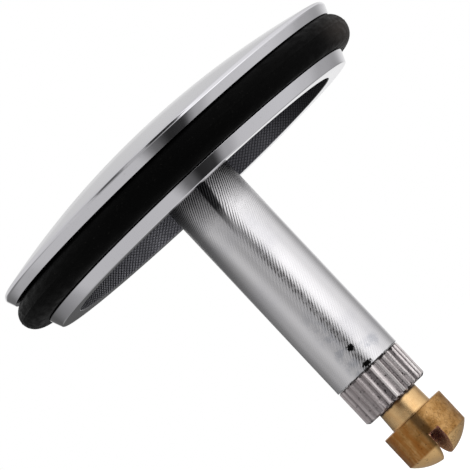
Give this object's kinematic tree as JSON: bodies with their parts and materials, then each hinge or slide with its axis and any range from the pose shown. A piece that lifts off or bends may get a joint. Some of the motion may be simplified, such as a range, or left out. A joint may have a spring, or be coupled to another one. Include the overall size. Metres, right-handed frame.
{
  "type": "drain stopper",
  "caption": "Pop-up bath drain stopper: domed chrome plug head with a rubber sealing ring, round stem, fluted lock nut and slotted brass height-adjusting screw.",
  "frame": {"origin": "on the stem's axis, at the centre plane of the sealing ring", "axes": "+Z along the stem towards the dome, -Z towards the screw's tip; +Y is the way the reference picture's camera looks"},
  "size_m": [0.072, 0.072, 0.0721],
  "materials": {
    "head_chrome": "polished chrome on turned brass",
    "seal_rubber": "smooth black rubber with a dull sheen",
    "stem_chrome": "polished chrome with fine turning marks",
    "nut_plating": "dull nickel plate",
    "screw_brass": "bare turned brass"
  },
  "bodies": {
    "plug": {"plug_head": "head_chrome", "sealing_ring": "seal_rubber", "stem": "stem_chrome"},
    "nut": {"lock_nut": "nut_plating"},
    "screw": {"adjusting_screw": "screw_brass"}
  },
  "joints": [
    {"name": "screw_turn", "type": "hinge", "parent": "plug", "child": "nut", "pos_m": [0, 0, -0.04705], "axis": [0, 0, -1], "range_deg": [-936, 2880]},
    {"name": "screw_travel", "type": "slide", "parent": "nut", "child": "screw", "axis": [0, 0, -1], "range_m": [-0.00326, 0.01001]}
  ],
  "couplings": [
    {"joint": "screw_travel", "follows": "screw_turn", "m_per_rad": 0.00019894}
  ]
}
